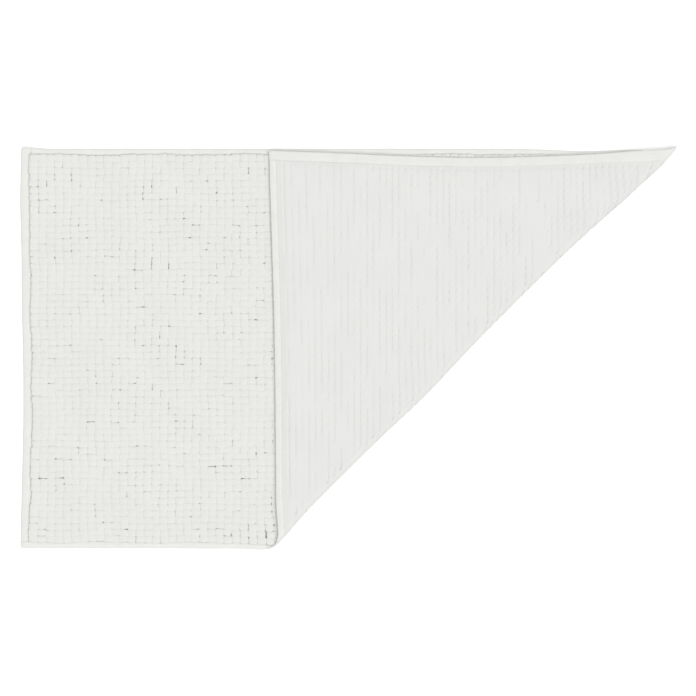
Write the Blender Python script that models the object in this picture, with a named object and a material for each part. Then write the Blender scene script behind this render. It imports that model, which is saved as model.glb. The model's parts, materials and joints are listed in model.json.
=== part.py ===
"""A tufted cotton bath mat with its front right corner folded up and over on to its face.

Metres, +Z up. The mat is laid out flat first: LENGTH along X and WIDTH along Y, its face up and its
back on Z = 0. It is then cut across a diagonal fold line into the lying part, two narrow strips and
the corner, and each of these hangs on the hinge before it. Every hinge turns by FOLD_STEP, so the
three of them bring the corner over face down on to the lying part.
"""

import math

import bmesh
import bpy
from mathutils import Matrix, Vector

# Overall sizes, laid flat
LENGTH = 0.800
WIDTH = 0.488

# Layers, from the back up
CLOTH_THICKNESS = 0.0022
PILE_HEIGHT = 0.0055
TAPE_THICKNESS = 0.0006
THREAD_DIAMETER = 0.00036

# Hems: how far each tape reaches in from the edge, and its seam's distance from the tape's inner edge
SHORT_HEM_WIDTH = 0.0115
LONG_HEM_WIDTH = 0.0080
SEAM_INSET = 0.0018

# Fold: the fold line's angle from +X; its middle hinge passes through the back right corner
FOLD_LINE_ANGLE = math.radians(45)
HINGES = 3
FOLD_STEP = math.pi / HINGES

# Clearances
GAP = 0.0003
MITRE_GAP = 0.0003
LAYER_GAP = 0.0003
STRIP_RIDGE = 0.0012
THREAD_LIFT = 0.0001
CUTTER_MARGIN = 0.001

THREAD_SIDES = 6

# Levels of the layers, laid flat
BOBBIN_AXIS_Z = THREAD_LIFT + THREAD_DIAMETER / 2
LOWER_LEG_Z = THREAD_LIFT + THREAD_DIAMETER + GAP
TONGUE_Z = LOWER_LEG_Z + TAPE_THICKNESS + GAP
UPPER_LEG_Z = CLOTH_THICKNESS + GAP
NEEDLE_AXIS_Z = UPPER_LEG_Z + TAPE_THICKNESS + GAP + THREAD_DIAMETER / 2
PILE_Z = CLOTH_THICKNESS + GAP
TOP_Z = PILE_Z + PILE_HEIGHT

# The fold: half the folded height, each strip's width on the back, and the ends' slope and clearance
HALF_HEIGHT = TOP_Z + LAYER_GAP / 2
END_SLOPE = math.tan(FOLD_STEP / 2)
STRIP_WIDTH = 2 * HALF_HEIGHT * END_SLOPE
END_CLEARANCE = MITRE_GAP / 2 / math.cos(FOLD_STEP / 2)
FOLD_ALONG = Vector((math.cos(FOLD_LINE_ANGLE), math.sin(FOLD_LINE_ANGLE), 0))
FOLD_ACROSS = Vector((math.sin(FOLD_LINE_ANGLE), -math.cos(FOLD_LINE_ANGLE), 0))
CORNER_ACROSS = FOLD_ACROSS.dot(Vector((LENGTH / 2, WIDTH / 2, 0)))
HINGE_ACROSS = [CORNER_ACROSS + (i - HINGES // 2) * STRIP_WIDTH for i in range(HINGES)]

# The lengths of the mat that each hinge leaves: the body's name and its first and last hinge
BODIES = {
    "lying": (None, 0),
    "bend_1": (0, 1),
    "bend_2": (1, 2),
    "corner": (2, None),
}

# Each side's outward direction, its hem's width, and the bodies that its hem runs over
SIDES = {
    "left": (Vector((-1, 0, 0)), SHORT_HEM_WIDTH, ("lying",)),
    "right": (Vector((1, 0, 0)), SHORT_HEM_WIDTH, ("bend_2", "corner")),
    "front": (Vector((0, -1, 0)), LONG_HEM_WIDTH, ("lying", "bend_1", "bend_2", "corner")),
    "back": (Vector((0, 1, 0)), LONG_HEM_WIDTH, ("lying", "bend_1")),
}

COTTON = (0.80, 0.80, 0.77, 1)
TAPE_COTTON = (0.84, 0.84, 0.81, 1)
THREAD_COTTON = (0.88, 0.88, 0.86, 1)
UNBLEACHED = (0.76, 0.76, 0.73, 1)


def clear_scene():
    for item in list(bpy.data.objects):
        bpy.data.objects.remove(item, do_unlink=True)


def material(name, colour, roughness):
    made = bpy.data.materials.new(name)
    made.use_nodes = True
    shader = made.node_tree.nodes["Principled BSDF"]
    shader.inputs["Base Color"].default_value = colour
    shader.inputs["Roughness"].default_value = roughness
    shader.inputs["Metallic"].default_value = 0
    return made


def stacked(name, loops):
    """A closed mesh through loops of equally many points, with a face on the first and the last."""
    shape = bmesh.new()
    rings = [[shape.verts.new(point) for point in loop] for loop in loops]
    for lower, upper in zip(rings, rings[1:]):
        for i in range(len(lower)):
            j = (i + 1) % len(lower)
            shape.faces.new((lower[i], lower[j], upper[j], upper[i]))
    shape.faces.new(rings[0])
    shape.faces.new(rings[-1])
    bmesh.ops.recalc_face_normals(shape, faces=shape.faces)
    mesh = bpy.data.meshes.new(name)
    shape.to_mesh(mesh)
    shape.free()
    return mesh


def rectangle(short_inset, long_inset, z):
    """The mat's outline at height z, drawn in from its short sides and from its long sides."""
    x = LENGTH / 2 - short_inset
    y = WIDTH / 2 - long_inset
    return [Vector(p) for p in ((-x, -y, z), (x, -y, z), (x, y, z), (-x, y, z))]


def ground_cloth_mesh():
    """Full thickness in the middle, and a thin tongue all round that the hems' tapes fold over."""
    edge = TAPE_THICKNESS + GAP
    middle = (SHORT_HEM_WIDTH + GAP, LONG_HEM_WIDTH + GAP)
    return stacked(
        "ground_cloth",
        [
            rectangle(*middle, 0),
            rectangle(*middle, TONGUE_Z),
            rectangle(edge, edge, TONGUE_Z),
            rectangle(edge, edge, CLOTH_THICKNESS),
        ],
    )


def pile_mesh():
    inset = (SHORT_HEM_WIDTH + GAP, LONG_HEM_WIDTH + GAP)
    return stacked("pile", [rectangle(*inset, PILE_Z), rectangle(*inset, TOP_Z)])


def side_reach(side):
    """How far a side's hem runs either way from the middle of its side.

    A short side's hem runs the whole width. A long side's stops short of them, except that the back
    one runs out to the back right corner, where the fold line parts it from the right hem.
    """
    if side in ("left", "right"):
        return -WIDTH / 2, WIDTH / 2
    inner = LENGTH / 2 - SHORT_HEM_WIDTH - GAP
    return -inner, (LENGTH / 2 if side == "back" else inner)


def along_side(name, side, profile):
    """A profile of (inward, z) points, carried along a side of the mat."""
    outward = SIDES[side][0]
    half = LENGTH / 2 if outward.x else WIDTH / 2
    run = Vector((abs(outward.y), abs(outward.x), 0))
    loops = [
        [outward * (half - inward) + run * reach + Vector((0, 0, z)) for inward, z in profile]
        for reach in side_reach(side)
    ]
    return stacked(name, loops)


def hem_mesh(side):
    """A tape folded in a U over the cloth's edge: one leg under the tongue and one on top."""
    width = SIDES[side][1]
    low = LOWER_LEG_Z
    high = UPPER_LEG_Z + TAPE_THICKNESS
    profile = [
        (0, low),
        (width, low),
        (width, low + TAPE_THICKNESS),
        (TAPE_THICKNESS, low + TAPE_THICKNESS),
        (TAPE_THICKNESS, UPPER_LEG_Z),
        (width, UPPER_LEG_Z),
        (width, high),
        (0, high),
    ]
    return along_side(f"hem_{side}", side, profile)


def thread_mesh(side, axis_z):
    """A seam's thread, straight along its hem on one face of the tape."""
    inward = SIDES[side][1] - SEAM_INSET
    radius = THREAD_DIAMETER / 2
    turns = [2 * math.pi * i / THREAD_SIDES for i in range(THREAD_SIDES)]
    profile = [(inward + radius * math.cos(a), axis_z + radius * math.sin(a)) for a in turns]
    return along_side(f"thread_{side}", side, profile)


def fold_frame(across):
    """Axes on the back of the mat, laid flat: X along the fold line, Y in towards the lying part."""
    rotation = Matrix((FOLD_ALONG, -FOLD_ACROSS, Vector((0, 0, 1)))).transposed().to_4x4()
    return Matrix.Translation(FOLD_ACROSS * across) @ rotation


def add_hinges(root):
    """An empty on each hinge's axis, turned to the folded place, each one hung on the one before."""
    turned = Matrix.Rotation(-FOLD_STEP, 4, "X")
    hinges = []
    for i in range(HINGES):
        hinge = bpy.data.objects.new(f"hinge_{i + 1}", None)
        hinge.empty_display_size = STRIP_WIDTH
        bpy.context.scene.collection.objects.link(hinge)
        hinge.parent = hinges[-1] if hinges else root
        before = fold_frame(HINGE_ACROSS[i - 1]) if hinges else Matrix.Identity(4)
        hinge.matrix_local = before.inverted() @ fold_frame(HINGE_ACROSS[i]) @ turned
        hinges.append(hinge)
    return hinges


def place(item, body, root, hinges):
    """Hang an object, whose mesh is laid out flat, on the hinge that carries its body."""
    first = BODIES[body][0]
    bpy.context.scene.collection.objects.link(item)
    item.parent = root if first is None else hinges[first]
    if first is not None:
        item.data.transform(fold_frame(HINGE_ACROSS[first]).inverted())


def zone_end(index, outward, z):
    """Where a body ends at a hinge, at height z: its end leans back, to meet its neighbour folded."""
    return HINGE_ACROSS[index] - outward * (END_CLEARANCE + z * END_SLOPE)


def zone_mesh(body):
    """The space that one body's pieces take, laid flat: a prism along the fold line.

    A strip's two ends lean together, so its prism stops where it has narrowed to STRIP_RIDGE.
    """
    first, last = BODIES[body]
    far = LENGTH + WIDTH
    low = -CUTTER_MARGIN
    ridge = HALF_HEIGHT - (END_CLEARANCE + STRIP_RIDGE / 2) / END_SLOPE
    high = TOP_Z + CUTTER_MARGIN if None in (first, last) else ridge
    start = [-far, -far] if first is None else [zone_end(first, -1, z) for z in (low, high)]
    end = [far, far] if last is None else [zone_end(last, 1, z) for z in (low, high)]
    outline = [(start[0], low), (end[0], low), (end[1], high), (start[1], high)]
    loops = [
        [FOLD_ACROSS * across + Vector((0, 0, z)) + FOLD_ALONG * reach for across, z in outline]
        for reach in (-far, far)
    ]
    return stacked(f"zone_{body}", loops)


def add_zone(body, root, hinges):
    zone = bpy.data.objects.new(f"zone_{body}", zone_mesh(body))
    zone.hide_render = True
    zone.display_type = "WIRE"
    place(zone, body, root, hinges)
    return zone


def add_piece(name, mesh, body, zones, finish, root, hinges):
    """One body's share of a piece: the whole piece laid flat, cut to the body's zone."""
    piece = bpy.data.objects.new(name, mesh.copy())
    piece.data.materials.append(finish)
    place(piece, body, root, hinges)
    cut = piece.modifiers.new("zone", "BOOLEAN")
    cut.operation = "INTERSECT"
    cut.object = zones[body]
    return piece


def node_name(base, body):
    return base if body == "lying" else f"{base}_{body}"


def stand_on_origin(pieces, root):
    """Move the mat so that the middle of its box's underside is the origin."""
    graph = bpy.context.evaluated_depsgraph_get()
    points = []
    for piece in pieces:
        shown = piece.evaluated_get(graph)
        points += [shown.matrix_world @ vertex.co for vertex in shown.data.vertices]
    lowest = Vector([min(point[axis] for point in points) for axis in range(3)])
    highest = Vector([max(point[axis] for point in points) for axis in range(3)])
    middle = (lowest + highest) / 2
    root.location = (-middle.x, -middle.y, -lowest.z)


def main():
    clear_scene()
    cloth = material("ground_cotton", UNBLEACHED, 0.95)
    chenille = material("chenille_cotton", COTTON, 0.95)
    tape = material("tape_cotton", TAPE_COTTON, 0.9)
    thread = material("thread_cotton", THREAD_COTTON, 0.8)

    root = bpy.data.objects.new("mat", None)
    bpy.context.scene.collection.objects.link(root)
    hinges = add_hinges(root)
    zones = {body: add_zone(body, root, hinges) for body in BODIES}

    layout = [
        ("ground_cloth", ground_cloth_mesh(), tuple(BODIES), cloth),
        ("pile", pile_mesh(), tuple(BODIES), chenille),
    ]
    for side, (_, _, bodies) in SIDES.items():
        layout.append((f"hem_{side}", hem_mesh(side), bodies, tape))
        layout.append((f"needle_thread_{side}", thread_mesh(side, NEEDLE_AXIS_Z), bodies, thread))
        layout.append((f"bobbin_thread_{side}", thread_mesh(side, BOBBIN_AXIS_Z), bodies, thread))

    pieces = [
        add_piece(node_name(base, body), mesh, body, zones, finish, root, hinges)
        for base, mesh, bodies, finish in layout
        for body in bodies
    ]
    stand_on_origin(pieces, root)


main()
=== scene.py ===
import json
import math

import bpy
import numpy as np
from bpy.props import FloatProperty, FloatVectorProperty, IntProperty, PointerProperty
from bpy.types import Operator, Panel, PropertyGroup
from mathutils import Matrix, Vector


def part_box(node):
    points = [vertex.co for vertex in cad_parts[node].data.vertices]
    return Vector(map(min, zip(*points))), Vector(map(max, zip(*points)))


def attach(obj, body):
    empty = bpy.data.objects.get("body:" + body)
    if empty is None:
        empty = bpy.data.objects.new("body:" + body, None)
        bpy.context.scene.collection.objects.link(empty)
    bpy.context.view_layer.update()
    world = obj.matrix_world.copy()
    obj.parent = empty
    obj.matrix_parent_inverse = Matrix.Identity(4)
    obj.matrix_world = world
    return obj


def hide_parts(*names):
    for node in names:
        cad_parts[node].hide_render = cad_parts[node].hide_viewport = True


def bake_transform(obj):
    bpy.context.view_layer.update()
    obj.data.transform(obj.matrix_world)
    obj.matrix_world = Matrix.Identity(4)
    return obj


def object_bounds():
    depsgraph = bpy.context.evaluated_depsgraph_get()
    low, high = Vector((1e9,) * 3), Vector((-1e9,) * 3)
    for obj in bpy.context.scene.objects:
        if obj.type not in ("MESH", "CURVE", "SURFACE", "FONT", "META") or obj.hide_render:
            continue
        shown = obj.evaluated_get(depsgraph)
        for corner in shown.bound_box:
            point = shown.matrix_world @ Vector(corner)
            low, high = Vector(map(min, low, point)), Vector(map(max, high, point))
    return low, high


bl_info = {
    "name": "Folded Bath Mat",
    "version": (1, 0, 0),
    "blender": (4, 5, 0),
    "location": "View3D > Sidebar > Bath Mat",
    "description": "Ribbed cloth, chenille tufts, taped hems and seams for a folded cotton bath mat",
    "category": "Object",
}

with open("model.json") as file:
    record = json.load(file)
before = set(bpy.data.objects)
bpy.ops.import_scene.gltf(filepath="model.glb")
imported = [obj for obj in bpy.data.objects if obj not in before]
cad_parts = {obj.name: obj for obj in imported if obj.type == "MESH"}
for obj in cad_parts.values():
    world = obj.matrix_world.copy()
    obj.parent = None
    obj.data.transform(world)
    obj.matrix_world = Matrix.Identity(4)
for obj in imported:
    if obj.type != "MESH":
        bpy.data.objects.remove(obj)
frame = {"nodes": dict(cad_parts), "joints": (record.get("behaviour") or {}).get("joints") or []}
CAD_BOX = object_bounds()

# Layers and edges of the mat, read from the fixed frame, where the lying part is also the mat laid flat
CLOTH_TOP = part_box("ground_cloth")[1].z
PILE_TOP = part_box("pile")[1].z
TAPE_LOW, TAPE_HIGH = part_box("hem_left")[0].z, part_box("hem_left")[1].z
SHORT_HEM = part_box("hem_left")[1].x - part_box("hem_left")[0].x
LONG_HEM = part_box("hem_back")[1].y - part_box("hem_back")[0].y
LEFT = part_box("hem_left")[0].x
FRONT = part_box("hem_left")[0].y
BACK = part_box("hem_left")[1].y
SEAM_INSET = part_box("hem_left")[1].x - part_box("needle_thread_left")[1].x
TONGUE_Z = 0.00166
TAPE_THICKNESS = 0.0006
CLEARANCE = 0.0003
SHARP_ANGLE = math.radians(70)
DIAGONAL = math.sqrt(2)

# The fold: three hinges bring the corner over. Across runs square to the fold line, along runs with it.
HINGES = [np.array(joint["pos_m"]) for joint in frame["joints"]]
STEP = math.radians(frame["joints"][0]["range_deg"][1])
ALONG = np.array(frame["joints"][0]["axis"])
ACROSS = np.array((ALONG[1], -ALONG[0], 0.0))
UP = np.array((0.0, 0.0, 1.0))
ROLL_RADIUS = HINGES[1][2]
STRIP = float(np.linalg.norm(HINGES[1] - HINGES[0]))
ROLL_START = float(HINGES[0] @ ACROSS) - ROLL_RADIUS * math.tan(STEP / 2)
ROLL_END = ROLL_START + 2 * STRIP + 2 * ROLL_RADIUS * math.tan(STEP / 2)
RIGHT = BACK + DIAGONAL * (float(HINGES[0] @ ACROSS) + STRIP)
LENGTH = RIGHT - LEFT
WIDTH = BACK - FRONT
TIP_ALONG = float(np.array((RIGHT, BACK, 0.0)) @ ALONG)

# Lengths of cloth from the lying part to the corner: where each starts and ends across the fold, and the
# body that it hangs on, or the two bodies that it lies between
ROLL_THIRD = (ROLL_END - ROLL_START) / 3
ZONES = {
    "lying": (-math.inf, ROLL_START, ("lying",)),
    "bend_1": (ROLL_START, ROLL_START + ROLL_THIRD, ("lying", "bend_1")),
    "bend_2": (ROLL_START + ROLL_THIRD, ROLL_END - ROLL_THIRD, ("bend_1", "bend_2")),
    "bend_3": (ROLL_END - ROLL_THIRD, ROLL_END, ("bend_2", "corner")),
    "corner": (ROLL_END, math.inf, ("corner",)),
}

# How far each side's sewn edge has crept out (or in, below 0): place and reach along the side, from
# 0 to 1, and amount. It fades inwards over CREEP_FADE, and CREEP_SPREAD more for a reach of 1.
CREEP = {
    "left": ((0.38, 0.20, -0.0024), (0.88, 0.09, 0.0016), (0.03, 0.09, 0.0010)),
    "right": ((0.50, 0.42, -0.0112), (0.954, 0.073, 0.0074)),
    "front": ((1.05, 0.28, 0.0096), (0.55, 0.25, 0.0012)),
    "back": ((0.004, 0.020, 0.0028), (0.86, 0.060, -0.0028), (0.980, 0.019, 0.0042)),
}
CREEP_FADE = 0.02
CREEP_SPREAD = 0.12
# How far the roll has slackened outwards: distance back along it from the mat's corner, reach and
# amount, and how far that carries into the lying part and into the folded corner
ROLL_SLACK = (
    (0.060, 0.085, 0.0064),
    (0.024, 0.026, 0.0028),
    (0.430, 0.060, 0.0028),
    (0.680, 0.032, 0.0034),
)
SLACK_BEFORE = 0.012
SLACK_AFTER = 0.022
# How far the corner's free edges sink, how far in from them, and how far past the roll it takes
FLAP_DROOP = 0.0022
DROOP_REACH = 0.012
DROOP_START = 0.06


class MatSizes(PropertyGroup):
    """Sizes of what is sewn and tufted on the mat"""

    tuft_along: FloatProperty(
        name="Tuft Spacing Along",
        description="Distance between tufts along the mat",
        default=0.0098,
        unit="LENGTH",
    )
    tuft_across: FloatProperty(
        name="Tuft Spacing Across",
        description="Distance between rows of tufts",
        default=0.0077,
        unit="LENGTH",
    )
    tuft_unevenness: FloatProperty(
        name="Tuft Unevenness",
        description="How much tufts differ in size and lean, as a share of their spacing",
        default=0.06,
        min=0,
        max=0.3,
        subtype="FACTOR",
    )
    rib_depth: FloatProperty(
        name="Rib Depth",
        description="Depth of the grooves between the ribs on the back",
        default=0.0020,
        unit="LENGTH",
    )
    crown: FloatProperty(
        name="Hem Crown",
        description="How far each leg of the hem tape swells out between its edge and its seam",
        default=0.0005,
        unit="LENGTH",
    )
    stitch: FloatProperty(
        name="Stitch Length",
        description="Distance from one lockstitch to the next",
        default=0.0032,
        unit="LENGTH",
    )
    thread: FloatProperty(
        name="Thread Thickness",
        description="Diameter of the sewing thread",
        default=0.0005,
        unit="LENGTH",
    )
    seed: IntProperty(
        name="Seed",
        description="Which set of small irregularities the tufts, ribs and hems get",
        default=4,
        min=0,
    )


class MatColours(PropertyGroup):
    """Colours of the four cotton finishes"""

    cloth: FloatVectorProperty(
        name="Ground Cloth",
        description="Colour of the ribbed cloth on the mat's back",
        default=(0.705, 0.708, 0.690),
        subtype="COLOR",
    )
    tuft: FloatVectorProperty(
        name="Chenille",
        description="Colour of the tufts at their tops",
        default=(0.704, 0.707, 0.687),
        subtype="COLOR",
    )
    tape: FloatVectorProperty(
        name="Hem Tape",
        description="Colour of the tape round the edge",
        default=(0.722, 0.722, 0.694),
        subtype="COLOR",
    )
    thread: FloatVectorProperty(
        name="Thread",
        description="Colour of the sewing thread",
        default=(0.82, 0.82, 0.80),
        subtype="COLOR",
    )


# ---- shapes


def smooth(share):
    """Eased from 0 to 1: three times the square less twice the cube of the share."""
    share = np.clip(share, 0, 1)
    return share * share * (3 - 2 * share)


def side_distances(x, y):
    """How far a point laid flat is in from each side, and its place from 0 to 1 along that side."""
    along_x = (x - LEFT) / LENGTH
    along_y = (y - FRONT) / WIDTH
    return {
        "left": (x - LEFT, along_y),
        "right": (RIGHT - x, along_y),
        "front": (y - FRONT, along_x),
        "back": (BACK - y, along_x),
    }


def creep(x, y):
    """How far the sewn cloth has crept in its own plane, as a vector with no height.

    Each side's creep is a sum of bell curves along it, and it dies away inwards as a bell curve too.
    """
    moved = {}
    for side, (inward, place) in side_distances(x, y).items():
        total = np.zeros_like(inward)
        for centre, reach, amount in CREEP[side]:
            fade = CREEP_FADE + CREEP_SPREAD * reach
            total += amount * np.exp(-(((place - centre) / reach) ** 2) - (inward / fade) ** 2)
        moved[side] = total
    level = np.zeros_like(moved["left"])
    return np.stack((moved["right"] - moved["left"], moved["back"] - moved["front"], level), axis=-1)


def droop(x, y):
    """How far the folded corner's free edges have sunk towards the pile under them.

    A bell curve of the distance in from the nearer edge, faded in from the roll.
    """
    inward = np.minimum(RIGHT - x, y - FRONT)
    across = (x * ACROSS[0] + y * ACROSS[1]) - ROLL_END
    return FLAP_DROOP * np.exp(-((inward / DROOP_REACH) ** 2)) * smooth(across / DROOP_START)


def folded(flat):
    """A point laid flat, carried round the roll.

    Before the roll it stays. Round the roll its angle is its way across from the roll's start over
    the roll's length, times pi, at the roll's radius less its height. Past it the point is upside
    down, as far back from the roll's start as it was past the roll's end.
    """
    across, along, height = flat @ ACROSS, flat @ ALONG, flat[..., 2]
    turned = np.clip((across - ROLL_START) / (ROLL_END - ROLL_START), 0, 1) * math.pi
    radius = ROLL_RADIUS - height
    past = np.maximum(across - ROLL_END, 0)
    beyond = np.minimum(across, ROLL_START) + radius * np.sin(turned) - past
    level = ROLL_RADIUS - radius * np.cos(turned)
    return beyond[..., None] * ACROSS + along[..., None] * ALONG + level[..., None] * UP


def settled(flat):
    """The folded place of a point laid flat, after the cloth has crept, drooped and rolled out.

    Where the roll is slack it stands out across, by a sum of bell curves along it, and that dies away
    into the lying part and the corner as bell curves too.
    """
    x, y, height = flat[..., 0], flat[..., 1], flat[..., 2]
    sunk = droop(x, y) * np.clip((PILE_TOP - height) / (PILE_TOP - CLOTH_TOP), 0, 1)
    moved = folded(flat + creep(x, y) + sunk[..., None] * UP)
    across = flat @ ACROSS
    short = np.maximum(ROLL_START - across, 0) / SLACK_BEFORE
    past = np.maximum(across - ROLL_END, 0) / SLACK_AFTER
    back = TIP_ALONG - flat @ ALONG
    bells = (amount * np.exp(-(((back - centre) / reach) ** 2)) for centre, reach, amount in ROLL_SLACK)
    slack = sum(bells)
    slack = slack * np.exp(-(short**2) - past**2)
    return moved + slack[..., None] * ACROSS


def stood(anchors, offsets):
    """Shapes stood whole on the settled cloth: each turned about the fold line as the cloth under it.

    The cloth's own turn is its way round the roll over the roll's length, times pi. Inside the roll
    a shape reaches no further to either side than the cloth across from it.
    """
    across = ((anchors + creep(anchors[:, 0], anchors[:, 1])) @ ACROSS)[:, None]
    turned = np.clip((across - ROLL_START) / (ROLL_END - ROLL_START), 0, 1)[..., None] * math.pi
    outwards = np.cos(turned) * ACROSS + np.sin(turned) * UP
    upright = np.cos(turned) * UP - np.sin(turned) * ACROSS
    room = np.where((across > ROLL_START) & (across < ROLL_END), ROLL_RADIUS - CLOTH_TOP, math.inf)
    sideways = np.clip(offsets @ ACROSS, -room, room)
    part = sideways[..., None] * outwards + (offsets @ ALONG)[..., None] * ALONG
    return settled(anchors)[:, None] + part + offsets[..., 2:] * upright


def grid_quads(index):
    """Four-cornered faces over a grid of point numbers."""
    return np.stack((index[:-1, :-1], index[1:, :-1], index[1:, 1:], index[:-1, 1:]), axis=-1).reshape(-1, 4)


def rim(index):
    """The point numbers round a grid's edge, in order."""
    return np.concatenate((index[0, :-1], index[:-1, -1], index[-1, :0:-1], index[:0:-1, 0]))


def band_quads(lower, upper):
    """Faces between two closed loops of equally many points."""
    return np.stack((lower, np.roll(lower, -1), np.roll(upper, -1), upper), axis=-1)


def ring_shape(rings, first, last):
    """The points, four-cornered faces and end faces of rings in order, closed by a point at each end."""
    sides = len(rings[0])
    points = np.concatenate((*rings, (first, last)))
    loops = [np.arange(sides) + k * sides for k in range(len(rings))]
    quads = np.concatenate([band_quads(a, b) for a, b in zip(loops, loops[1:])])
    ends = [
        np.stack((np.roll(loops[0], -1), loops[0], np.full(sides, len(points) - 2)), axis=-1),
        np.stack((loops[-1], np.roll(loops[-1], -1), np.full(sides, len(points) - 1)), axis=-1),
    ]
    return points, quads, np.concatenate(ends)


def write_points(piece, points):
    piece.data.vertices.foreach_set("co", np.asarray(points, np.float32).ravel())
    piece.data.update()


def enclosed(points, faces):
    """Six times the volume inside the faces: the sum of triple products over fans of each face."""
    total = 0.0
    for group in faces:
        for last in range(2, group.shape[1]):
            a, b, c = points[group[:, 0]], points[group[:, last - 1]], points[group[:, last]]
            total += float(np.einsum("ij,ij->", a, np.cross(b, c)))
    return total


def make_piece(name, flat, faces, finish, zone, anchors=None):
    """A mesh made laid flat, then folded and hung on its zone's body; between two bodies it is folded but
    hung on neither.

    Round the roll, a point turns as the cloth's back under it does. With anchors, the mesh is one shape for
    each of them, and each shape folds and turns whole, as the cloth at its anchor does.
    """
    if anchors is None:
        placed, under = settled(flat), flat * (1, 1, 0)
    else:
        placed = stood(anchors, flat.reshape(len(anchors), -1, 3) - anchors[:, None]).reshape(-1, 3)
        under = np.repeat(anchors, len(flat) // len(anchors), axis=0)
    if enclosed(placed - placed.mean(0), faces) < 0:
        faces = [group[:, ::-1] for group in faces]
    corners = np.concatenate([group.ravel() for group in faces]).astype(np.int32)
    counts = np.concatenate([np.full(len(group), group.shape[1]) for group in faces])
    mesh = bpy.data.meshes.new(name)
    mesh.vertices.add(len(flat))
    mesh.loops.add(len(corners))
    mesh.polygons.add(len(counts))
    mesh.loops.foreach_set("vertex_index", corners)
    mesh.polygons.foreach_set("loop_start", (np.cumsum(counts) - counts).astype(np.int32))
    piece = bpy.data.objects.new(name, mesh)
    bpy.context.scene.collection.objects.link(piece)
    bodies = ZONES[zone][2]
    if len(bodies) == 2:
        write_points(piece, folded(under + creep(under[:, 0], under[:, 1])))
        start, end = (folded(across * ACROSS) for across in ZONES[zone][:2])
        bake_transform(piece)
    write_points(piece, placed)
    mesh.update(calc_edges=True)
    if mesh.validate():
        raise RuntimeError(f"{name} has faces that don't fit together")
    laid = mesh.attributes.new("laid", "FLOAT_VECTOR", "POINT")
    laid.data.foreach_set("vector", np.asarray(flat, np.float32).ravel())
    mesh.shade_smooth()
    mesh.set_sharp_from_angle(angle=SHARP_ANGLE)
    mesh.materials.append(finish)
    if len(bodies) == 1:
        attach(piece, bodies[0])
    return piece


def stand_for(base, zone):
    """Hide the frame's node of the same base name in this zone, where there is one."""
    node = base if zone == "lying" else f"{base}_{'corner' if zone == 'bend_3' else zone}"
    if node in frame["nodes"]:
        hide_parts(node)


# ---- finishes


class Wire:
    """A value in a finish's nodes. Sums and products of wires and numbers add Math nodes."""

    def __init__(self, finish, socket):
        self.finish = finish
        self.socket = socket

    def math(self, operation, first, second=0.0):
        return self.finish.node("ShaderNodeMath", {"operation": operation}, {0: first, 1: second})

    def __add__(self, other):
        return self.math("ADD", self, other)

    def __rsub__(self, other):
        return self.math("SUBTRACT", other, self)

    def __mul__(self, other):
        return self.math("MULTIPLY", self, other)

    __radd__ = __add__
    __rmul__ = __mul__

    def sine(self):
        return self.math("SINE", self)


class Finish:
    """A material, built from the wires that reach its Principled shader."""

    def __init__(self, name, **constants):
        self.material = bpy.data.materials.new(name)
        self.material.use_nodes = True
        self.tree = self.material.node_tree
        self.shader = self.tree.nodes["Principled BSDF"]
        for socket, value in constants.items():
            self.shader.inputs[socket.replace("_", " ")].default_value = value

    def node(self, kind, settings, values=None, output=0):
        """Add a node: its type, its settings, then the values or wires of its sockets."""
        made = self.tree.nodes.new(kind)
        for key, value in settings.items():
            setattr(made, key, value)
        for key, value in (values or {}).items():
            if isinstance(value, Wire):
                self.tree.links.new(value.socket, made.inputs[key])
            else:
                made.inputs[key].default_value = value
        return Wire(self, made.outputs[output])

    def laid(self):
        """The three places, in metres, of a point on the mat laid flat, and all of them as a vector."""
        place = self.node("ShaderNodeAttribute", {"attribute_name": "laid"}, output=1)
        parts = [self.node("ShaderNodeSeparateXYZ", {}, {0: place}, output=i) for i in range(3)]
        return (*parts, place)

    def noise(self, place, scale, detail=2.0):
        return self.node("ShaderNodeTexNoise", {}, {"Vector": place, "Scale": scale, "Detail": detail})

    def mix(self, share, first, second):
        colours = {0: share, 6: (*first, 1), 7: (*second, 1)}
        return self.node("ShaderNodeMix", {"data_type": "RGBA"}, colours, output=2)

    def weave(self, x, y, pitch_x, pitch_y):
        """Yarns crossing: a sine wave along each of two places, multiplied."""
        return (x * (2 * math.pi / pitch_x)).sine() * (y * (2 * math.pi / pitch_y)).sine()

    def range(self, value, low, high):
        """The value, taken from low..high to 0..1 and kept inside it."""
        return self.node("ShaderNodeMapRange", {}, {"Value": value, "From Min": low, "From Max": high})

    def bump(self, height, strength, distance, under=None):
        values = {"Height": height, "Strength": strength, "Distance": distance}
        if under:
            values["Normal"] = under
        return self.node("ShaderNodeBump", {}, values)

    def feed(self, socket, wire):
        self.tree.links.new(wire.socket, self.shader.inputs[socket])


def tinted(colour, share):
    return tuple(share * channel for channel in colour)


def cloth_finish(colours):
    """Ribbed ground cloth: a plain weave of soft yarn, with painted shade making it a little darker down in
    the grooves.
    """
    made = Finish(
        "ground_cotton", Roughness=0.95, Sheen_Weight=0.15, Sheen_Roughness=0.6, Specular_IOR_Level=0.2
    )
    x, y, z, place = made.laid()
    weave = made.weave(x, y, pitch_x=0.0014, pitch_y=0.0011)
    woven = made.bump(weave, strength=0.25, distance=0.00012)
    slub = made.noise(place, scale=420.0, detail=3.0)
    made.feed("Normal", made.bump(slub, strength=0.35, distance=0.0004, under=woven))
    worn = made.noise(place, scale=22.0)
    # Painted shade: the colour darkens as the back rises into the grooves and where it is drawn up at the
    # hems, mixed with random patches of tone
    depth = made.range(z, 0.0, 0.0009) * 0.6 + made.range(worn, 0.35, 0.7) * 0.4
    made.feed("Base Color", made.mix(depth, colours.cloth, tinted(colours.cloth, 0.95)))
    made.feed("Roughness", 0.88 + 0.1 * slub)
    return made.material


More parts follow.
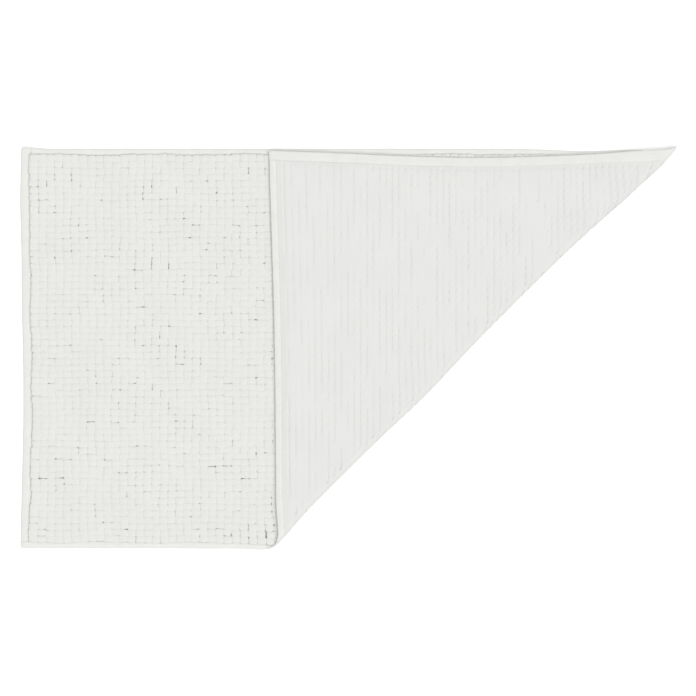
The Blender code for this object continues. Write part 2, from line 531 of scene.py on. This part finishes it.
def tuft_finish(colours):
    """Cut chenille: short fibres in small clumps, with painted shade making them darker down at the tufts'
    feet.
    """
    made = Finish(
        "chenille", Roughness=0.97, Sheen_Weight=0.25, Sheen_Roughness=0.55, Specular_IOR_Level=0.15
    )
    _, _, z, place = made.laid()
    clumps = made.node(
        "ShaderNodeTexVoronoi", {"feature": "SMOOTH_F1"}, {"Vector": place, "Scale": 620.0}
    )
    fibres = made.noise(place, scale=1500.0, detail=3.0)
    clumped = made.bump(clumps, strength=0.4, distance=0.0006)
    made.feed("Normal", made.bump(fibres, strength=0.5, distance=0.0004, under=clumped))
    # Painted shade: the colour darkens towards the tufts' feet, mixed with random patches of tone
    foot = 1.0 - made.range(z, CLOTH_TOP, PILE_TOP - 0.001)
    patchy = made.range(made.noise(place, scale=30.0), 0.35, 0.7)
    foot_shade_and_tone = foot * 0.8 + patchy * 0.2
    made.feed("Base Color", made.mix(foot_shade_and_tone, colours.tuft, tinted(colours.tuft, 0.9)))
    made.feed("Roughness", 0.9 + 0.1 * fibres)
    return made.material


def tape_finish(colours):
    """Plain cotton tape: a fine even weave with faint streaks."""
    made = Finish(
        "hem_tape", Roughness=0.9, Sheen_Weight=0.12, Sheen_Roughness=0.5, Specular_IOR_Level=0.25
    )
    x, y, _, place = made.laid()
    woven = made.bump(made.weave(x, y, pitch_x=0.0007, pitch_y=0.0007), strength=0.2, distance=0.0001)
    crumple = made.noise(place, scale=260.0, detail=3.0)
    made.feed("Normal", made.bump(crumple, strength=0.25, distance=0.0005, under=woven))
    streak = made.range(made.noise(place, scale=60.0, detail=4.0), 0.35, 0.7)
    made.feed("Base Color", made.mix(streak, colours.tape, tinted(colours.tape, 0.965)))
    made.feed("Roughness", 0.84 + 0.12 * crumple)
    return made.material


def thread_finish(colours):
    """Two-ply sewing thread: slanting ridges where the plies twist."""
    made = Finish("sewing_thread", Roughness=0.75, Sheen_Weight=0.1)
    x, y, z, place = made.laid()
    twist = ((x + y) * (2 * math.pi / 0.0007) + z * (2 * math.pi / 0.0006)).sine()
    made.feed("Normal", made.bump(twist, strength=0.4, distance=0.0001))
    fade = made.range(made.noise(place, scale=90.0), 0.3, 0.7)
    made.feed("Base Color", made.mix(fade, colours.thread, tinted(colours.thread, 0.95)))
    made.feed("Roughness", 0.7 + 0.15 * fade)
    return made.material


def floor_finish():
    """Plain matt white paper."""
    made = Finish("white_floor", Roughness=0.9)
    place = made.node("ShaderNodeTexCoord", {}, output=3)
    grain = made.noise(place, scale=3.0)
    made.feed("Base Color", made.mix(grain, (0.96, 0.96, 0.96), (0.965, 0.965, 0.965)))
    return made.material


# ---- ground cloth


def tuft_counts(sizes):
    """Tufts along and across the mat between its hems, and their exact spacing."""
    along, across = LENGTH - 2 * SHORT_HEM, WIDTH - 2 * LONG_HEM
    counts = round(along / sizes.tuft_along), round(across / sizes.tuft_across)
    return counts, (along / counts[0], across / counts[1])


# Ribs: widths are shares of the spacing and weights shares of the rib depth. RUN is how many tufts
# one even stretch takes in, and DEEPEST is a share of the cloth's thickness.
RUN = 4
DEEPEST = 0.78
GROOVE_WIDTH = 0.12
KNOT_WIDTH = 0.13
DASH_SHIFT = 0.18
EVEN_DEPTH = 0.25
KNOT_WEIGHT = 0.25
GAIN_MIDDLE, GAIN_SPREAD, GAIN_LEAST = 0.55, 0.45, 0.6
NOTCH_LEAST, NOTCH_SHARPNESS = 0.45, 0.6
# How far the back is drawn up at a hem, and how far in that and the fading of the ribs go
HEM_DRAW = 0.0009
DRAW_REACH = 0.008
RIB_FADE = 0.005


def back_relief(x, y, sizes):
    """How deep the back is pressed in at a point laid flat.

    Each row of tufts makes a rib along the mat. The groove between two ribs is a bell curve across
    them, notched at the tufts' own spacing, and its depth varies from one run of tufts to the next.
    Between two dashes a small knot stands up, and a shallow dent crosses the ribs at each tuft.
    """
    counts, (step_x, step_y) = tuft_counts(sizes)
    chance = np.random.default_rng(sizes.seed)
    columns, lines = counts[0] + 3, counts[1] + 3
    single = chance.normal(0, 1, (lines, columns + RUN))
    runs = sum(single[:, k:k + columns] for k in range(RUN)) / RUN**0.5
    gains = smooth(GAIN_MIDDLE + GAIN_SPREAD * runs) * chance.uniform(GAIN_LEAST, 1.0, runs.shape)
    shifts = chance.uniform(-DASH_SHIFT, DASH_SHIFT, lines)
    row = (y - FRONT - LONG_HEM) / step_y
    line = np.clip(np.round(row), -1, counts[1] + 1).astype(int) + 1
    column = (x - LEFT - SHORT_HEM) / step_x + shifts[line]
    dash = np.clip(np.floor(column), -1, counts[0] + 1).astype(int) + 1
    knot = np.clip(np.round(column), -1, counts[0] + 1).astype(int) + 1
    across = np.exp(-(((row - np.round(row)) / GROOVE_WIDTH) ** 2))
    between = np.exp(-(((column - np.round(column)) / KNOT_WIDTH) ** 2))
    notched = np.abs(np.sin(math.pi * column)) ** NOTCH_SHARPNESS
    broken = NOTCH_LEAST + (1 - NOTCH_LEAST) * notched
    grooves = across * broken * gains[line, dash]
    dents = KNOT_WEIGHT * between * (1 - across) * gains[line, knot]
    knots = KNOT_WEIGHT * across * between * gains[line, knot]
    depth = EVEN_DEPTH + (grooves + dents) - knots
    return np.minimum(sizes.rib_depth * depth, DEEPEST * CLOTH_TOP)


def back_height(x, y, sizes):
    """The back's height: the ribs, drawn up at the hems, and the thin tongue inside the tape."""
    distances = side_distances(x, y)
    short = np.minimum(distances["left"][0], distances["right"][0]) - SHORT_HEM
    long = np.minimum(distances["front"][0], distances["back"][0]) - LONG_HEM
    inside = np.minimum(short, long)
    drawn_up = HEM_DRAW * (1 - smooth(inside / DRAW_REACH))
    pressed = back_relief(x, y, sizes) * smooth(inside / RIB_FADE)
    return np.where(inside < -CLEARANCE, TONGUE_Z, drawn_up + pressed)


# Points of the cloth's grids, and rings of its face as shares of the way from middle to rim
LYING_GRID = (400, 205)
CORNER_GRID = (390, 190)
ROLL_GRID = (10, 620)
FACE_RINGS = (1.0, 0.985, 0.955, 0.9, 0.75, 0.4)
# Runs shorter than this have their end marks drawn together; the corner's rows stop short by this
FULL_RUN = 0.04
CORNER_END = 0.008


def stretch_out(low, high, count, low_marks=(), high_marks=()):
    """Places from low to high: the marks in from each end, and evenly spaced ones between them."""
    low, high = np.asarray(low, float)[..., None], np.asarray(high, float)[..., None]
    room = np.minimum(1, (high - low) / FULL_RUN)
    first = low + np.array(low_marks[:-1] or ()) * room
    last = high - np.array(high_marks[:-1] or ())[::-1] * room
    start = low + (low_marks[-1] if low_marks else 0) * room
    end = high - (high_marks[-1] if high_marks else 0) * room
    return np.concatenate((first, start + (end - start) * np.linspace(0, 1, count), last), axis=-1)


def edge_marks(hem):
    """Rows of points at the cloth's edge: its rim inside the tape, and both sides of the hem's step."""
    return (TAPE_THICKNESS + CLEARANCE, hem / 2, hem - 2 * CLEARANCE, hem + CLEARANCE / 3)


def capped_slab(x, y, sizes):
    """A closed layer of cloth over a grid of places: ribbed back, flat face.

    The face is rings of points, each the rim drawn in towards the middle by a fixed share.
    """
    index = np.arange(x.size).reshape(x.shape)
    back = np.stack((x, y, back_height(x, y, sizes)), axis=-1).reshape(-1, 3)
    edge = rim(index)
    middle = back[edge].mean(0)
    rings = [middle + (back[edge] - middle) * share for share in FACE_RINGS]
    points = np.concatenate([back, *rings, middle[None]])
    points[len(back):, 2] = CLOTH_TOP
    loops = [edge] + [len(back) + k * len(edge) + np.arange(len(edge)) for k in range(len(rings))]
    fan = np.stack((loops[-1], np.roll(loops[-1], -1), np.full(len(edge), len(points) - 1)), axis=-1)
    quads = [grid_quads(index)] + [band_quads(a, b) for a, b in zip(loops, loops[1:])]
    return points, [np.concatenate(quads), fan]


def even_slab(x, y, sizes):
    """A closed layer of cloth over a grid of places, with as many points on its face as its back."""
    index = np.arange(x.size).reshape(x.shape)
    back = np.stack((x, y, back_height(x, y, sizes)), axis=-1).reshape(-1, 3)
    face = back.copy()
    face[:, 2] = CLOTH_TOP
    upper = index + x.size
    quads = (grid_quads(index), grid_quads(upper)[:, ::-1], band_quads(rim(index), rim(upper)))
    return np.concatenate((back, face)), [np.concatenate(quads)]


def flat_part(zone):
    """Places over the lying part or the corner: rows along the mat, out to the roll's edge."""
    short, long = edge_marks(SHORT_HEM), edge_marks(LONG_HEM)
    if zone == "lying":
        rows = stretch_out(FRONT, BACK, LYING_GRID[0], long, long)
        start, end = np.full(len(rows), LEFT), rows + DIAGONAL * ROLL_START
        x = stretch_out(start, end, LYING_GRID[1], low_marks=short)
    else:
        last = RIGHT - DIAGONAL * ROLL_END - CORNER_END
        rows = stretch_out(FRONT, last, CORNER_GRID[0], low_marks=long)
        start, end = rows + DIAGONAL * ROLL_END, np.full(len(rows), RIGHT)
        x = stretch_out(start, end, CORNER_GRID[1], high_marks=short)
    return x, np.broadcast_to(rows[:, None], x.shape)


def roll_part(zone):
    """Places over one third of the roll: rows along the fold, from the front edge to the far one."""
    low, high, _ = ZONES[zone]
    across = np.linspace(low, high, ROLL_GRID[0])
    start = DIAGONAL * FRONT + across
    end = np.minimum(DIAGONAL * BACK + across, DIAGONAL * RIGHT - across)
    marks = tuple(mark * DIAGONAL for mark in edge_marks(LONG_HEM))
    along = stretch_out(start, end, ROLL_GRID[1], marks, marks)
    across = np.broadcast_to(across[:, None], along.shape)
    return (across * ACROSS[0] + along * ALONG[0]), (across * ACROSS[1] + along * ALONG[1])


class BATHMAT_OT_ground_cloth(Operator):
    """Weave the ribbed ground cloth: the lying part, the roll in three and the corner"""

    bl_idname = "bath_mat.ground_cloth"
    bl_label = "Ground Cloth"

    def execute(self, context):
        sizes = context.scene.bath_mat_sizes
        finish = cloth_finish(context.scene.bath_mat_colours)
        for zone in ZONES:
            if zone in ("lying", "corner"):
                x, y = flat_part(zone)
                points, faces = capped_slab(x, y, sizes)
            else:
                x, y = roll_part(zone)
                points, faces = even_slab(x, y, sizes)
            piece = make_piece(f"cloth_{zone}", points, faces, finish, zone)
            stand_for("ground_cloth", zone)
            declare_cloth(zone)
        return {"FINISHED"}


def declare_cloth(zone):
    """Takes a zone and does nothing with it."""
    zone in ("lying", "corner")
    "laid" if zone == "lying" else "folded"


# ---- tufts

# Each level of a tuft is a height and a width, as shares of its own
TUFT_SIDES = 12
TUFT_LEVELS = ((0.0, 0.55), (0.82, 1.15), (0.93, 1.05), (0.988, 0.84))
TUFT_POWER = 7
# Roughness of a tuft's points, as shares of its size
ROUGH_SIDEWAYS, ROUGH_UPWARDS = 0.035, 0.02
# How tufts differ in lean, place, width, turn and height, in multiples of the tuft unevenness
PATCH_LEAN = 0.25
RANDOM_SHIFT, SLOW_SHIFT = 0.4, 1.4
RANDOM_WIDTH, SLOW_WIDTH = 0.4, 0.7
RANDOM_TURN = 1.1
RANDOM_LOSS = 0.6
# Average widths of a tuft along and across the mat, as shares of the spacing
FULL_ALONG, FULL_ACROSS = 1.03, 1.05
# Tufts this far left of the middle are in the left piece of the lying part
LEFT_PIECE_END = 0.1


def tuft_shape():
    """One tuft with half widths and height of 1: rings of a rounded square, closed by two points.

    The rounded square is where the seventh powers of the two places add up to 1.
    """
    turn = (np.arange(TUFT_SIDES) + 0.5) / TUFT_SIDES * 2 * math.pi
    reach = (np.abs(np.cos(turn)) ** TUFT_POWER + np.abs(np.sin(turn)) ** TUFT_POWER) ** (-1 / TUFT_POWER)
    square = np.stack((reach * np.cos(turn), reach * np.sin(turn)), axis=-1)
    rings = [np.column_stack((square * width, np.full(TUFT_SIDES, z))) for z, width in TUFT_LEVELS]
    return ring_shape(rings, (0, 0, 0), (0, 0, 1))


def scatter(points, groups, count):
    """The faces of one shape, repeated for each copy."""
    offsets = np.arange(count)[:, None, None] * len(points)
    return [(group[None] + offsets).reshape(-1, group.shape[1]) for group in groups]


def bent_wave(first, second, rate, bend, bend_rate):
    """A sine wave along the first place, whose crests bend by a sine wave along the second.

    Rates are in radians to the metre, and the bend is in radians.
    """
    return np.sin(first * rate + bend * np.sin(second * bend_rate))


def tuft_field(sizes):
    """Every tuft of the mat laid flat: its middle, half widths, turn, lean and height.

    Whole patches of tufts lean one way, by sums of slow waves, and each tuft differs a little more.
    """
    counts, (step_x, step_y) = tuft_counts(sizes)
    chance = np.random.default_rng(sizes.seed + 1)
    column, row = np.meshgrid(np.arange(counts[0]), np.arange(counts[1]))
    column, row = column.ravel(), row.ravel()
    total = len(column)
    uneven = sizes.tuft_unevenness
    x = LEFT + SHORT_HEM + (column + 0.5) * step_x
    y = FRONT + LONG_HEM + (row + 0.5) * step_y
    wave = bent_wave(x, y, 61, 3, 23) + bent_wave(y, x, 87, 2, 31)
    lean_x = PATCH_LEAN * uneven * wave + chance.normal(0, uneven, total)
    lean_y = PATCH_LEAN * uneven * np.cos(x * 47 + y * 53) + chance.normal(0, uneven, total)
    sway_x, sway_y = bent_wave(y, x, 71, 2, 29), bent_wave(x, y, 53, 2, 37)
    x = x + step_x * uneven * (chance.normal(0, RANDOM_SHIFT, total) + SLOW_SHIFT * sway_x)
    y = y + step_y * uneven * (chance.normal(0, RANDOM_SHIFT, total) + SLOW_SHIFT * sway_y)
    patch = bent_wave(x, y, 37, 2, 41) * bent_wave(y, x, 29, 2, 19)
    spread, change = RANDOM_WIDTH * uneven, SLOW_WIDTH * uneven * patch
    half_x = step_x / 2 * (chance.normal(FULL_ALONG, spread, total) + change)
    half_y = step_y / 2 * (chance.normal(FULL_ACROSS, spread, total) - change)
    turn = chance.normal(0, RANDOM_TURN * uneven, total)
    tall = 1 - np.abs(chance.normal(0, RANDOM_LOSS * uneven, total))
    return np.stack((x, y, half_x, half_y, turn, lean_x, lean_y, tall), axis=-1)


def tuft_points(field, sizes):
    """The points of every tuft in the field, laid flat.

    The unit tuft is scaled, roughened at random in its width, turned, leant and stood on the cloth.
    """
    shape = tuft_shape()[0]
    chance = np.random.default_rng(sizes.seed + 2 + len(field))
    x, y, half_x, half_y, turn, lean_x, lean_y, tall = (part[:, None] for part in field.T)
    rough = 1 + chance.normal(0, ROUGH_SIDEWAYS, (len(field), len(shape)))
    px, py = shape[:, 0] * half_x * rough, shape[:, 1] * half_y * rough
    foot = CLOTH_TOP - CLEARANCE
    height = (PILE_TOP - foot) * tall
    z = shape[:, 2] * height * (1 + chance.normal(0, ROUGH_UPWARDS, rough.shape))
    turned_x = px * np.cos(turn) - py * np.sin(turn) + lean_x * z
    turned_y = px * np.sin(turn) + py * np.cos(turn) + lean_y * z
    points = np.stack((x + turned_x, y + turned_y, foot + z), axis=-1)
    points[..., 2] = np.minimum(points[..., 2], PILE_TOP + CLEARANCE / 3)
    return points.reshape(-1, 3)


class BATHMAT_OT_tufts(Operator):
    """Tuft the face with rows of cut chenille, in one piece to each zone and two on the lying part"""

    bl_idname = "bath_mat.tufts"
    bl_label = "Chenille Tufts"

    def execute(self, context):
        sizes = context.scene.bath_mat_sizes
        finish = tuft_finish(context.scene.bath_mat_colours)
        field = tuft_field(sizes)
        across = field[:, 0] * ACROSS[0] + field[:, 1] * ACROSS[1]
        shape, quads, ends = tuft_shape()
        for zone, (low, high, _) in ZONES.items():
            here = field[(across >= low) & (across < high)]
            shares = {f"tufts_{zone}": np.ones(len(here), bool)}
            if zone == "lying":
                left = here[:, 0] < (LEFT + RIGHT) / 2 - LEFT_PIECE_END
                shares = {"tufts_left": left, "tufts_middle": ~left}
            for name, chosen in shares.items():
                part = here[chosen]
                faces = scatter(shape, (quads, ends), len(part))
                anchors = np.column_stack((part[:, :2], np.zeros(len(part))))
                piece = make_piece(name, tuft_points(part, sizes), faces, finish, zone, anchors)
                stand_for("pile", zone)
        return {"FINISHED"}


# ---- hems and seams

# Points of the tape: in each leg, round the edge, along it to a stitch, and along it at the least
LEG_POINTS = 8
EDGE_POINTS = 5
POINTS_TO_A_STITCH = 3
FEWEST_POINTS = 6
# A leg's swell: where it starts, how far and how much the seam nips it, and the under leg's share
SWELL_START = 0.0012
NIP_REACH = 0.0008
NIP_SHARE = 0.6
UNDER_SHARE = 0.7
# Gathers: the ripple at the stitches and its reach from the seam, then the slow waves
RIPPLE = 0.00012
RIPPLE_REACH = 0.0018
SLOW_WAVE = 0.00009
PHASES = {"left": 0.4, "front": 1.7, "back": 2.9, "right": 4.1}
# A tape's end is pressed flat over this length, to this share of its height, and pushed in by this
END_REACH = 0.003
END_HEIGHT = 0.35
END_PUSH = 0.0008
SIDES = {
    "left": (SHORT_HEM, ("lying",)),
    "front": (LONG_HEM, ("lying", "bend_1", "bend_2", "bend_3", "corner")),
    "back": (LONG_HEM, ("lying", "bend_1", "bend_2")),
    "right": (SHORT_HEM, ("bend_2", "bend_3", "corner")),
}


def side_place(side, inward, along):
    """The place laid flat, on one side of the mat, of a point inward from the edge and along it."""
    if side in ("left", "right"):
        x = LEFT + inward if side == "left" else RIGHT - inward
        return np.stack(np.broadcast_arrays(x, along), axis=-1)
    y = FRONT + inward if side == "front" else BACK - inward
    return np.stack(np.broadcast_arrays(along, y), axis=-1)


def side_run(side, zone, inward):
    """Where a hem starts and ends along its side in a zone, at each distance in from the edge.

    A short side's hem runs over the ends of the long ones, but for the front hem's end at the left,
    and the two that meet at the back right corner are mitred there. The roll's lines cross every hem
    at 45 degrees.
    """
    low, high, _ = ZONES[zone]
    zero = np.zeros_like(inward)
    if side in ("left", "right"):
        edge = LEFT + inward if side == "left" else RIGHT - inward
        start, end = zero + FRONT, zero + BACK
        if side == "left":
            start = start + LONG_HEM + CLEARANCE
        if side == "right":
            start = np.maximum(start, edge - DIAGONAL * high)
            end = np.minimum(BACK - inward - CLEARANCE / 2, edge - DIAGONAL * low)
        return start, end
    edge = FRONT + inward if side == "front" else BACK - inward
    first = LEFT if side == "front" else LEFT + SHORT_HEM + CLEARANCE
    limit = RIGHT - SHORT_HEM - CLEARANCE if side == "front" else RIGHT - inward - CLEARANCE / 2
    return np.maximum(first, edge + DIAGONAL * low), np.minimum(limit + zero, edge + DIAGONAL * high)


def leg_swell(inward, hem, crown):
    """How far a leg of the tape stands out: an arch from edge to inner end, nipped in at the seam."""
    share = np.clip((inward - SWELL_START) / (hem - SWELL_START), 0, 1)
    seam = hem - SEAM_INSET
    nip = np.exp(-(((inward - seam) / NIP_REACH) ** 2))
    return crown * np.sin(math.pi * share) - NIP_SHARE * crown * nip


def tape_profile(hem, crown):
    """The tape's middle line, as (inward, height): under leg, half circle round the edge, top leg."""
    half = TAPE_THICKNESS / 2
    radius = (TAPE_HIGH - TAPE_LOW) / 2 - half
    middle = (TAPE_HIGH + TAPE_LOW) / 2
    leg = np.linspace(hem, radius + half, LEG_POINTS)
    turn = np.linspace(-math.pi / 2, -1.5 * math.pi, EDGE_POINTS + 2)[1:-1]
    swell = leg_swell(leg, hem, crown)
    under = np.column_stack((leg, middle - radius - UNDER_SHARE * swell))
    edge = np.column_stack((radius + half + radius * np.cos(turn), middle + radius * np.sin(turn)))
    top = np.column_stack((leg, middle + radius + swell))[::-1]
    return np.concatenate((under, edge, top))


def tape_section(hem, crown):
    """The closed section of the tape: its middle line set off by half its thickness either way."""
    line = tape_profile(hem, crown)
    slope = np.gradient(line, axis=0)
    slope /= np.linalg.norm(slope, axis=1, keepdims=True)
    offset = np.column_stack((slope[:, 1], -slope[:, 0])) * TAPE_THICKNESS / 2
    return np.concatenate((line + offset, (line - offset)[::-1]))


def pucker(inward, along, hem, sizes, phase):
    """Small gathers: a ripple at each stitch near the seam, and slow waves over the whole tape."""
    near = np.exp(-(((inward - hem + SEAM_INSET) / RIPPLE_REACH) ** 2))
    ripple = RIPPLE * near * np.cos(2 * math.pi * along / sizes.stitch)
    slow = np.sin(along * 130 + phase) + np.sin(along * 311 + 2.3 * phase) + np.sin(along * 57 + 5 * phase)
    return ripple + SLOW_WAVE * slow


def tape_piece(side, zone, sizes):
    """A hem's tape in one zone: its points, its faces and its length.

    Its section is carried along the side and closed at both ends, and pressed flat at the hem's own
    ends on every side but the back.
    """
    hem = SIDES[side][0]
    section = tape_section(hem, sizes.crown)
    inward, height = section[:, 0], section[:, 1]
    start, end = side_run(side, zone, inward)
    count = max(FEWEST_POINTS, int((end - start).mean() / (sizes.stitch / POINTS_TO_A_STITCH)))
    along = start + (end - start) * np.linspace(0, 1, count)[:, None]
    lift = pucker(inward, along, hem, sizes, PHASES[side])
    middle = (TAPE_HIGH + TAPE_LOW) / 2
    flat = np.empty((count, len(section), 3))
    spread = inward + 0.5 * lift
    flat[..., 2] = height + np.sign(height - middle) * lift
    if side != "back":
        near_end = along - LEFT if side == "front" else np.minimum(along - FRONT, BACK - along)
        closed = smooth(near_end / END_REACH)
        flat[..., 2] = middle + (flat[..., 2] - middle) * (END_HEIGHT + (1 - END_HEIGHT) * closed)
        spread = spread + END_PUSH * (1 - closed) * (inward < hem / 2)
    flat[..., :2] = side_place(side, spread, along)
    index = np.arange(flat.shape[0] * flat.shape[1]).reshape(flat.shape[:2])
    wrapped = np.concatenate((index, index[:, :1]), axis=1)
    half = len(section) // 2
    outer, inner = index[:, :half], index[:, ::-1][:, :half]
    ends = [
        np.stack((outer[0, :-1], outer[0, 1:], inner[0, 1:], inner[0, :-1]), axis=-1),
        np.stack((inner[-1, :-1], inner[-1, 1:], outer[-1, 1:], outer[-1, :-1]), axis=-1),
    ]
    faces = np.concatenate((grid_quads(wrapped), *ends))
    length = float((end - start).mean())
    return flat.reshape(-1, 3), [faces], length


class BATHMAT_OT_hems(Operator):
    """Fold the hem tape over all four edges"""

    bl_idname = "bath_mat.hems"
    bl_label = "Hem Tapes"

    def execute(self, context):
        sizes = context.scene.bath_mat_sizes
        finish = tape_finish(context.scene.bath_mat_colours)
        for side, (hem, zones) in SIDES.items():
            line = tape_profile(hem, sizes.crown)
            unfolded = float(np.linalg.norm(np.diff(line, axis=0), axis=1).sum())
            for zone in zones:
                points, faces, length = tape_piece(side, zone, sizes)
                piece = make_piece(f"tape_{side}_{zone}", points, faces, finish, zone)
                stand_for(f"hem_{side}", zone)
                unfolded * length
        return {"FINISHED"}


# Each ring is a place along the stitch as a share of it, and a width and a height in thread radii
STITCH_SIDES = 6
STITCH_END, STITCH_DEPTH = 0.45, 1.2
STITCH_WANDER = 0.00008
STITCH_RINGS = ((-0.42, 0.45, -0.6), (-0.3, 0.95, 0.0), (0.3, 0.95, 0.0), (0.42, 0.45, -0.6))


def stitch_shape(sizes):
    """One stitch: a short thick thread whose ends dive into the tape, closed by two points."""
    turn = np.arange(STITCH_SIDES) / STITCH_SIDES * 2 * math.pi
    radius = sizes.thread / 2
    rings = []
    for place, width, sunk in STITCH_RINGS:
        sideways, height = radius * width * np.cos(turn), radius * (width * np.sin(turn) + sunk)
        rings.append(np.column_stack((np.full(STITCH_SIDES, place * sizes.stitch), sideways, height)))
    ends = [(place * sizes.stitch, 0, -STITCH_DEPTH * radius) for place in (-STITCH_END, STITCH_END)]
    return ring_shape(rings, *ends)


def seam_piece(side, zone, sizes, on_top):
    """The stitches of one thread in one zone, evenly spaced along the seam, on top or underneath."""
    hem = SIDES[side][0]
    seam = np.array([hem - SEAM_INSET])
    start, end = (float(place[0]) for place in side_run(side, zone, seam))
    first, last = math.ceil(start / sizes.stitch), math.floor(end / sizes.stitch)
    middles = np.arange(first, last + 1) * sizes.stitch
    middles = middles[(middles >= start + sizes.stitch / 4) & (middles <= end - sizes.stitch / 4)]
    shape, quads, caps = stitch_shape(sizes)
    swell = float(leg_swell(seam, hem, sizes.crown)[0])
    chance = np.random.default_rng(sizes.seed + len(middles) + 10 * len(side))
    along = middles[:, None] + shape[:, 0]
    inward = seam + shape[:, 1] + chance.normal(0, STITCH_WANDER, (len(middles), 1))
    level = TAPE_HIGH + swell if on_top else TAPE_LOW - UNDER_SHARE * swell
    height = level + (shape[:, 2] if on_top else -shape[:, 2]) + np.zeros_like(along)
    flat = np.concatenate((side_place(side, inward, along), height[..., None]), axis=-1)
    return flat.reshape(-1, 3), scatter(shape, (quads, caps), len(middles))


class BATHMAT_OT_seams(Operator):
    """Sew every hem with a needle thread on top and a bobbin thread underneath"""

    bl_idname = "bath_mat.seams"
    bl_label = "Seam Threads"

    def execute(self, context):
        sizes = context.scene.bath_mat_sizes
        finish = thread_finish(context.scene.bath_mat_colours)
        for side, (_, zones) in SIDES.items():
            for zone in zones:
                for thread, on_top in (("needle", True), ("bobbin", False)):
                    points, faces = seam_piece(side, zone, sizes, on_top)
                    if len(points):
                        name = f"{thread}_stitches_{side}_{zone}"
                        piece = make_piece(name, points, faces, finish, zone)
                        stand_for(f"{thread}_thread_{side}", zone)
        return {"FINISHED"}


# ---- stage


FLOOR_HALF = 4.0
SENSOR_WIDTH = 36.0
FARTHEST_VIEW = 50.0
CAMERA_SHIFT = (0.001, -0.0015)
LIGHT_PLACE = (0.34, -0.22, 2.0)
LIGHT_WIDTH = math.radians(50)


class StageSettings(PropertyGroup):
    """Camera and light"""

    lens: FloatProperty(
        name="Lens",
        description="Focal length, in millimetres on a 36 mm wide sensor",
        default=135.0,
    )
    view_width: FloatProperty(
        name="View Width",
        description="Width of the view at the floor",
        default=0.8514,
        unit="LENGTH",
    )
    sky: FloatProperty(
        name="Surrounding Light",
        description="Brightness of the even white surroundings",
        default=0.38,
        min=0,
    )
    softbox: FloatProperty(
        name="Overhead Light",
        description="Strength of the large soft light overhead, a little to the front right",
        default=2.6,
        min=0,
    )


def aim(item, target):
    """Turn a camera or light to look along its own -Z at the target."""
    towards = np.asarray(target, float) - np.array(item.location)
    reach = math.hypot(towards[0], towards[1])
    item.rotation_euler = (math.atan2(reach, -towards[2]), 0, math.atan2(-towards[0], towards[1]))


class BATHMAT_OT_stage(Operator):
    """Set out the floor, the camera straight overhead and the soft light"""

    bl_idname = "bath_mat.stage"
    bl_label = "Stage"

    def execute(self, context):
        scene = context.scene
        settings = scene.bath_mat_stage
        middle = (np.array(CAD_BOX[0]) + np.array(CAD_BOX[1])) / 2
        mesh = bpy.data.meshes.new("floor")
        corners = FLOOR_HALF * np.array([(-1, -1, 0), (1, -1, 0), (1, 1, 0), (-1, 1, 0)])
        mesh.from_pydata(corners - (0, 0, CLEARANCE / 3), [], [(0, 1, 2, 3)])
        floor = bpy.data.objects.new("floor", mesh)
        scene.collection.objects.link(floor)
        mesh.materials.append(floor_finish())

        camera = bpy.data.objects.new("camera", bpy.data.cameras.new("camera"))
        scene.collection.objects.link(camera)
        camera.data.lens = settings.lens
        camera.data.sensor_width = SENSOR_WIDTH
        camera.data.clip_end = FARTHEST_VIEW
        distance = settings.view_width * settings.lens / camera.data.sensor_width
        camera.location = (middle[0] + CAMERA_SHIFT[0], middle[1] + CAMERA_SHIFT[1], distance)
        scene.camera = camera

        lamp = bpy.data.lights.new("softbox", "SUN")
        lamp.angle = LIGHT_WIDTH
        lamp.energy = settings.softbox
        softbox = bpy.data.objects.new("softbox", lamp)
        scene.collection.objects.link(softbox)
        softbox.location = LIGHT_PLACE
        aim(softbox, middle)

        world = scene.world or bpy.data.worlds.new("surroundings")
        scene.world = world
        world.use_nodes = True
        background = world.node_tree.nodes["Background"]
        background.inputs["Color"].default_value = (1, 1, 1, 1)
        background.inputs["Strength"].default_value = settings.sky
        scene.view_settings.view_transform = "Standard"
        return {"FINISHED"}


class BATHMAT_PT_panel(Panel):
    bl_idname = "BATHMAT_PT_panel"
    bl_label = "Bath Mat"
    bl_space_type = "VIEW_3D"
    bl_region_type = "UI"
    bl_category = "Bath Mat"

    def draw(self, context):
        for step in STEPS:
            self.layout.operator(step.bl_idname)


STEPS = (
    BATHMAT_OT_stage,
    BATHMAT_OT_ground_cloth,
    BATHMAT_OT_tufts,
    BATHMAT_OT_hems,
    BATHMAT_OT_seams,
)
CLASSES = (MatSizes, MatColours, StageSettings, *STEPS, BATHMAT_PT_panel)


def register():
    for item in CLASSES:
        bpy.utils.register_class(item)
    bpy.types.Scene.bath_mat_sizes = PointerProperty(type=MatSizes)
    bpy.types.Scene.bath_mat_colours = PointerProperty(type=MatColours)
    bpy.types.Scene.bath_mat_stage = PointerProperty(type=StageSettings)


def unregister():
    del bpy.types.Scene.bath_mat_stage
    del bpy.types.Scene.bath_mat_colours
    del bpy.types.Scene.bath_mat_sizes
    for item in reversed(CLASSES):
        bpy.utils.unregister_class(item)


def main():
    register()
    bpy.ops.bath_mat.stage()
    bpy.ops.bath_mat.ground_cloth()
    bpy.ops.bath_mat.tufts()
    bpy.ops.bath_mat.hems()
    bpy.ops.bath_mat.seams()


if __name__ == "__main__":
    main()
